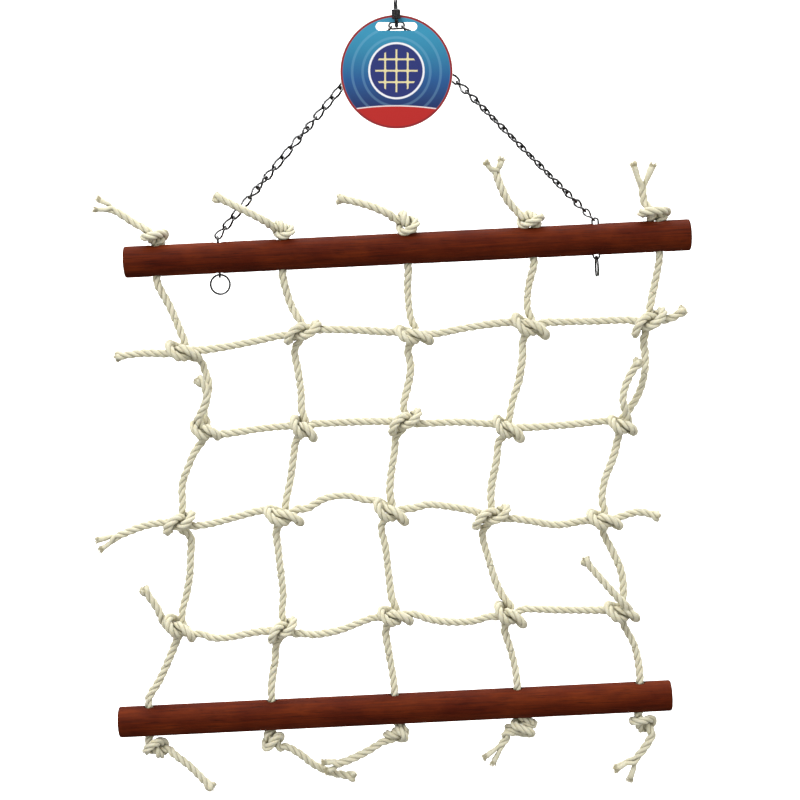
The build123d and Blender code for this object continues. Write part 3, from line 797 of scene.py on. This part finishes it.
def stop_knot(stop, lean):
    """Stopper knot along the start of its tail, with its axis leant up or down."""
    x, z, roll, size, half_long, half_high, tail, _ = stop
    centre = np.array((x, STOP_KNOT_Y, z))
    axis = unit(unit(np.array(tail[0]) - centre) + (0, 0, lean))
    level = unit(np.cross((0.0, 0.0, 1.0), axis))
    upward = np.cross(axis, level)
    cosine = math.cos(math.radians(roll))
    sine = math.sin(math.radians(roll))
    second = level * cosine + upward * sine
    third = upward * cosine - level * sine
    points = [centre + size * (p[0] * axis + p[1] * second + p[2] * third) for p in STOP_KNOT]
    return fitted(points, x, z, half_long, half_high, deep=1.08)


# ------------------------------------------------------------------- cross ropes
CROSS_SPAN_Y = -3.2
SPAN_GAP = 3.0                   # least distance along X from a span's points to its knots


def cross_rope_points(row):
    (left_tail, left_cut, _), (right_tail, right_cut, _) = CROSS_TAILS[row]
    spans = CROSS_SPANS[row]
    last = UPRIGHT_COUNT - 1
    points = list(reversed(left_tail))
    for i in range(UPRIGHT_COUNT):
        knot = cross_knot(*KNOTS[row][i])
        if i == 0:
            knot = knot[left_cut:]
        if i == last:
            knot = knot[:len(knot) - right_cut]
        # the rope runs straight into and out of its knot
        if i > 0:
            z_in = spans[i - 1][-1][1]
            knot[0] = (knot[0][0], knot[0][1], z_in)
            knot[1] = (knot[1][0], knot[1][1], (knot[1][2] + z_in) / 2)
        if i < last:
            z_out = spans[i][0][1]
            knot[-1] = (knot[-1][0], knot[-1][1], z_out)
            knot[-2] = (knot[-2][0], knot[-2][1], (knot[-2][2] + z_out) / 2)
        points += knot
        if i < last:
            next_x, _, next_half_long = KNOTS[row][i + 1][:3]
            next_scale = (next_half_long - KNOT_MARGIN) / widest(CROSS_KNOT, 0, 0)
            stop_x = next_x + CROSS_KNOT[0][0] * next_scale
            points += [(x, CROSS_SPAN_Y, z) for x, z in spans[i]
                       if knot[-1][0] + SPAN_GAP < x < stop_x - SPAN_GAP]
    return points + right_tail


for row in range(ROW_COUNT):
    number = row + 1
    # the rope is a little thicker in its knots
    knots = [(from_top_bar((knot[0], -1, knot[1])) for knot in KNOTS[row])]
    knots = [(list(knots[0]), 15.0, 0.13)]
    rope = Rope(cross_rope_points(row), 10 + number,
                [tail[2] for tail in CROSS_TAILS[row]], knots)
    laid = rope.piece(0, rope.last).build("cross_rope_%d_laid" % number, SISAL)
    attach(laid, "row_%d" % number)
    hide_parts("cross_rope_%d" % number)

# ---------------------------------------------------------------------- uprights
LOW_BAR_TOP = LOW_Z + BAR_RADIUS
# the CAD pieces that each piece of an upright replaces
REPLACED = [("top_knot", "span_1"), ("span_2",), ("span_3",), ("span_4",), ("span_5",),
            ("bottom_knot",)]


def span_y(span, point, count):
    """Depth of a span's point: back just below a knot, forward just above one."""
    if span > 0 and point == 0:
        return 5.2
    if span < ROW_COUNT and point == count - 1:
        return 0.6
    if span > 0 and point == 1:
        return 3.4
    return 2.0


def upright_points(upright):
    """Centreline from the end of the top tail to the end of the bottom tail."""
    top_x = (upright - 2) * HOLE_PITCH
    low_x = top_x + LOW_X
    points = list(reversed(TOP_STOPS[upright][6]))
    points += reversed(stop_knot(TOP_STOPS[upright], lean=0.25))
    points += [(top_x, 0, z) for z in (BAR_RADIUS - 3.0, 0, -BAR_RADIUS + 1, -18.0)]
    for s, span in enumerate(UPRIGHTS[upright]):
        points += [(x, span_y(s, i, len(span)), z) for i, (x, z) in enumerate(span)]
        if s < ROW_COUNT:
            x, z = KNOTS[s][upright][:2]
            points += [(x + 1.0, 1.2, z + 5.0), (x - 0.8, 2.2, z - 4.0)]
    points += [(low_x, 0, z) for z in (LOW_BAR_TOP + 6.0, LOW_BAR_TOP - 3.0, LOW_Z,
                                       LOW_Z - BAR_RADIUS + 3.0)]
    points += stop_knot(LOW_STOPS[upright], lean=-0.25)
    return points + LOW_STOPS[upright][6]


def cut_samples(rope, knot_z):
    """Samples that part an upright half-way down each span."""
    levels = [(knot_z[0] - BAR_RADIUS) / 2 - 4]
    levels += [(above + below) / 2 for above, below in zip(knot_z, knot_z[1:])]
    levels.append((knot_z[-1] + LOW_BAR_TOP) / 2)
    heights = rope.path[:, 2] - TOP[2]
    samples = [0]
    for level in levels:
        lower = np.where(heights < level)[0]
        samples.append(int(lower[lower > samples[-1]][0]))
    return samples + [rope.last]


for upright in range(UPRIGHT_COUNT):
    number = upright + 1
    stops = (TOP_STOPS[upright], LOW_STOPS[upright])
    stop_centres = [from_top_bar((stop[0], -1, stop[1])) for stop in stops]
    row_centres = [from_top_bar((row[upright][0], 1, row[upright][1])) for row in KNOTS]
    # thicker in its own knots, thinner where the cross ropes grip it
    rope = Rope(upright_points(upright), 40 + number, [stop[7] for stop in stops],
                [(stop_centres, 12.0, 0.04), (row_centres, 12.0, -0.02)])
    knot_z = [row[upright][1] for row in KNOTS]
    samples = cut_samples(rope, knot_z)
    # a pair of heights for each piece: below the top bar, below each knot and above the bottom
    # bar
    folds = [(-BAR_RADIUS - 0.5, -BAR_RADIUS - 14.0)]
    folds += [(z - 5.0, z - 20.0) for z in knot_z]
    folds.append((LOW_BAR_TOP + 13.0, LOW_BAR_TOP + 1.0))
    for j, (fold_start, fold_end) in enumerate(folds):
        laid = rope.piece(samples[j], samples[j + 1]).build(
            "upright_%d_laid_%d" % (number, j + 1), SISAL)
        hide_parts(*["upright_%d_%s" % (number, part) for part in REPLACED[j]])
        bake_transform(laid)

# ------------------------------------------------------------------------- chain
LINK_WIRE = 1.6                  # wire thickness
SHOWN_RADIUS = 0.92              # wire radius as drawn, a little full over the plating
LINK_WIDTH = 6.6                 # outer width
LINK_INSIDE = 10.55              # inner length
LINK_TWIST = math.radians(72)
LINK_SIDES = 10
BEND_STEPS = 14
STRAIGHT_STEPS = 7
BEND_RADIUS = (LINK_WIDTH - LINK_WIRE) / 2
BEND_CENTRE = (LINK_INSIDE + LINK_WIRE) / 2 - BEND_RADIUS    # from the link's middle
END_PLAY = 0.2                   # slack at the left leg's foot
BACK = np.array((0.0, 1.0, 0.0))
# name, piece at its foot, side, and each link's mean angle about the leg, top to bottom
LEGS = [
    ("left_chain", "left_bar_links", -1,
     [-58.3, -48, -33, -16, -2, 5, 2, -4, -20, -52, -98, -145, -176, -182, -215, -262, -312,
      -348, -364, -380, -396]),
    ("right_chain", "right_bar_links", 1,
     [-54, -54, -40, -26, -15, -28, -48, -68, -84, -95, -84, -98, -86, -100, -88, -98, -90,
      -102, -112, -124, -126]),
]


def link_outline():
    """Centreline of a flat oval link: one bend and straight, then the same half a turn on."""
    half = []
    for i in range(BEND_STEPS):
        angle = -math.pi / 2 + math.pi * i / BEND_STEPS
        half.append((BEND_CENTRE + BEND_RADIUS * math.cos(angle),
                     BEND_RADIUS * math.sin(angle)))
    for i in range(STRAIGHT_STEPS):
        half.append((BEND_CENTRE - 2 * BEND_CENTRE * i / STRAIGHT_STEPS, BEND_RADIUS))
    return np.array(half + [(-x, -y) for x, y in half])


def twisted_link(mesh, middle, along, across, mean, seed, wire_radius):
    """One link of wire, bent to an oval and twisted about its long axis."""
    x, y = link_outline().T[:, :, None]
    u = np.clip((x + BEND_CENTRE) / (2 * BEND_CENTRE), 0, 1)
    turn = mean - LINK_TWIST / 2 + LINK_TWIST * (u * u * (3 - 2 * u))
    path = middle + along * x + y * (across * np.cos(turn) + BACK * np.sin(turn))
    tangents = unit(np.roll(path, -1, 0) - np.roll(path, 1, 0))
    normals = carry(tangents, unit(np.cross(tangents[0], along + 0.01)))
    # spread the mismatch of the frame round the loop, so that it closes
    final = square_to(normals[-1], tangents[0])
    mismatch = math.atan2(np.cross(final, normals[0]).dot(tangents[0]), final.dot(normals[0]))
    ring = np.arange(len(path))
    angles = (2 * math.pi * np.arange(LINK_SIDES)[None, :] / LINK_SIDES
              + mismatch * ring[:, None] / len(path))
    mesh.add_rings(path, normals, np.cross(tangents, normals), wire_radius * np.cos(angles),
                   wire_radius * np.sin(angles), angles, ring * 0.1 + seed, closed=True)


def chain_leg(name, foot_node, side, means):
    low, high = box_mm(foot_node)
    apex_z = box_mm("chain_top_link").mean(0)[2]
    head_centre = np.array((side * BEND_CENTRE, 0, apex_z))
    foot_centre = np.array(((low[0] + high[0]) / 2, 0, high[2] - LINK_WIRE / 2 - BEND_RADIUS))
    along = unit(foot_centre - head_centre)
    inset = BEND_RADIUS - LINK_WIRE / 2
    head = head_centre + along * inset
    if side > 0:
        foot = foot_centre - along * inset
    else:
        foot = foot_centre + (0, 0, BEND_RADIUS) + along * (LINK_WIRE + END_PLAY) / 2
    along = unit(foot - head)
    pitch = np.linalg.norm(foot - head) / len(means)
    across = unit(np.cross(along, BACK))
    mesh = TubeMesh()
    for i, mean in enumerate(means):
        # the end links turn on others, so keep their clearance
        is_end = i in (0, len(means) - 1)
        twisted_link(mesh, head + along * pitch * (i + 0.5), along, across,
                     mean=math.radians(mean), seed=i * 0.7,
                     wire_radius=LINK_WIRE / 2 if is_end else SHOWN_RADIUS)
    leg = mesh.build(name + "_twisted", NICKEL)
    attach(leg, "chain_legs")
    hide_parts(name)


for leg_row in LEGS:
    chain_leg(*leg_row)

# ------------------------------------------------------------------- split rings
RING_TURNS = 1.95
RING_PITCH = 0.88
RING_RADIUS = 7.8
RING_DROP = 0.2                  # below the CAD ring's centre
RING_STEPS = 200
RING_SIDES = 14
WIRE_HALF_WIDTH = 0.82
WIRE_HALF_THICKNESS = 0.42


def split_ring(name, body, axis, across):
    """Two turns of rounded flat wire, lying flat on each other."""
    axis = np.array(axis, float)
    centre = box_mm(name).mean(0) - (0, 0, RING_DROP)
    steps = np.arange(RING_STEPS + 1)
    t = (steps / RING_STEPS)[:, None]
    around = 2 * math.pi * (RING_TURNS * t - 0.25)      # starts at the bottom
    outwards = np.array(across, float) * np.cos(around) + np.array((0, 0, 1.0)) * np.sin(around)
    path = centre + axis * ((t - 0.5) * RING_TURNS * RING_PITCH)
    angles = 2 * math.pi * np.arange(RING_SIDES) / RING_SIDES
    cosine = np.cos(angles)
    sine = np.sin(angles)
    wide = WIRE_HALF_WIDTH * np.copysign(np.abs(cosine) ** 0.62, cosine)
    thick = WIRE_HALF_THICKNESS * np.copysign(np.abs(sine) ** 0.8, sine)
    mesh = TubeMesh()
    first = mesh.add_rings(path, outwards, np.tile(axis, (len(path), 1)), RING_RADIUS + wide,
                           thick, angles, steps * 0.1)
    last = first + RING_STEPS * RING_SIDES
    mesh.faces.append(tuple(first + q for q in reversed(range(RING_SIDES))))
    mesh.faces.append(tuple(last + q for q in range(RING_SIDES)))
    coil = mesh.build(name + "_coil", NICKEL)
    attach(coil, body)
    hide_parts(name)


split_ring("left_ring", "left_split_ring", axis=(0, 1, 0), across=(1, 0, 0))
split_ring("right_ring", "right_split_ring", axis=(1, 0, 0), across=(0, 1, 0))

# ---------------------------------------------------------------- stage, in metres
FLOOR_GAP = 0.12                 # floor below the lowest point
FLOOR_FRONT = -4.0
FLOOR_BACK = 1.2                 # where the bend begins
BEND = 1.3                       # radius of the bend up into the wall
WALL_HEIGHT = 3.0                # above the bend
HALF_WIDTH = 5.0
FLOOR_STEPS, TURN_STEPS, WALL_STEPS = 12, 20, 8


def backdrop_curve(floor_z):
    """(y, z) along a flat floor, a wide bend and a straight wall."""
    curve = [(FLOOR_FRONT + (FLOOR_BACK - FLOOR_FRONT) * i / FLOOR_STEPS, floor_z)
             for i in range(FLOOR_STEPS + 1)]
    for i in range(1, TURN_STEPS + 1):
        angle = math.pi / 2 * i / TURN_STEPS
        curve.append((FLOOR_BACK + BEND * math.sin(angle),
                      floor_z + BEND - BEND * math.cos(angle)))
    for i in range(1, WALL_STEPS + 1):
        curve.append((FLOOR_BACK + BEND, floor_z + BEND + WALL_HEIGHT * i / WALL_STEPS))
    return curve


def floor_material():
    material, tree, shader = new_material("pale_floor")
    noise = add_node(tree, "TexNoise", Scale=3.0, Detail=3.0).outputs["Fac"]
    colour = ramp(tree, noise, (0.3, (0.93, 0.93, 0.925)), (0.7, (0.95, 0.95, 0.945)))
    set_inputs(tree, shader, Base_Color=colour, Roughness=0.9, Specular_IOR_Level=0.1,
               Emission_Color=(1, 1, 1, 1), Emission_Strength=0.55)
    return material


def add_backdrop():
    curve = backdrop_curve(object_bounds()[0][2] - FLOOR_GAP)
    mesh = bpy.data.meshes.new("backdrop")
    mesh.from_pydata(
        [(x, y, z) for y, z in curve for x in (-HALF_WIDTH, HALF_WIDTH)], [],
        [(2 * i, 2 * i + 1, 2 * i + 3, 2 * i + 2) for i in range(len(curve) - 1)])
    mesh.polygons.foreach_set("use_smooth", [True] * len(mesh.polygons))
    backdrop = bpy.data.objects.new("backdrop", mesh)
    bpy.context.scene.collection.objects.link(backdrop)
    mesh.materials.append(floor_material())
    backdrop.visible_glossy = False
    backdrop.visible_diffuse = False


def add_world():
    """Soft white room; shiny metal sees it with dark gaps, as in a light tent."""
    world = bpy.data.worlds.new("soft")
    bpy.context.scene.world = world
    world.use_nodes = True
    tree = world.node_tree
    direction = add_node(tree, "TexCoord").outputs["Generated"]
    axes = add_node(tree, "SeparateXYZ", Vector=direction)
    # 0 straight down, 1 straight up
    height = add_node(tree, "MapRange", From_Min=-1.0, Value=axes.outputs["Z"]).outputs[0]
    reflected = ramp(tree, height, (0.0, grey(0.03)), (0.38, grey(0.05)), (0.50, grey(0.30)),
                     (0.56, grey(0.05)), (0.72, grey(0.10)), (0.92, grey(1.3)))
    soft = ramp(tree, height, (0.0, grey(0.26)), (0.5, grey(0.72)), (1.0, grey(1.06)))
    glossy = add_node(tree, "LightPath").outputs["Is Glossy Ray"]
    set_inputs(tree, tree.nodes["Background"], Color=mix(tree, glossy, soft, reflected),
               Strength=1.0)


def area(name, location, target, size, power):
    light = bpy.data.lights.new(name, "AREA")
    light.shape = "RECTANGLE"
    light.size, light.size_y = size
    light.energy = power
    lamp = bpy.data.objects.new(name, light)
    lamp.location = location
    aim = Vector(target) - Vector(location)
    lamp.rotation_euler = aim.to_track_quat("-Z", "Y").to_euler()
    bpy.context.scene.collection.objects.link(lamp)


CAMERA_PITCH = 0.10674           # radians down from level
CAMERA_ROLL = 0.04876            # radians
CAMERA_DISTANCE = 1600.0         # mm
CAMERA_TARGET = np.array((-12.05, 0, TOP[2] - 127.47))


def add_camera():
    """Camera in front, looking slightly down, rolled as the bars hang off level."""
    data = bpy.data.cameras.new("camera")
    camera = bpy.data.objects.new("camera", data)
    bpy.context.scene.collection.objects.link(camera)
    forward = np.array((0, math.cos(CAMERA_PITCH), -math.sin(CAMERA_PITCH)))
    level_up = np.array((0, math.sin(CAMERA_PITCH), math.cos(CAMERA_PITCH)))
    level_right = np.array((1.0, 0, 0))
    right = level_right * math.cos(CAMERA_ROLL) - level_up * math.sin(CAMERA_ROLL)
    up = level_right * math.sin(CAMERA_ROLL) + level_up * math.cos(CAMERA_ROLL)
    eye = (CAMERA_TARGET - forward * CAMERA_DISTANCE) * MM
    rows = [(right[i], up[i], -forward[i], eye[i]) for i in range(3)]
    camera.matrix_world = Matrix((*rows, (0, 0, 0, 1)))
    data.sensor_width = 36
    data.lens = 88.407
    data.clip_start = 0.05
    data.clip_end = 50
    data.shift_y = 0.0075
    bpy.context.scene.camera = camera


add_backdrop()
add_world()
bpy.context.scene.view_settings.view_transform = "Standard"
area("key", location=(-0.7, -1.3, 1.1), target=(0, 0, -0.35), size=(0.8, 0.8), power=21)
area("fill", location=(1.4, -1.3, 0.1), target=(0, 0, -0.3), size=(1.2, 1.2), power=3)
area("top", location=(0.1, 0.3, 1.2), target=(0, 0, -0.3), size=(1.2, 0.8), power=6)
area("wall", location=(0, 0.9, 1.4), target=(0, 2.6, -0.6), size=(3.0, 1.0), power=60)
add_camera()
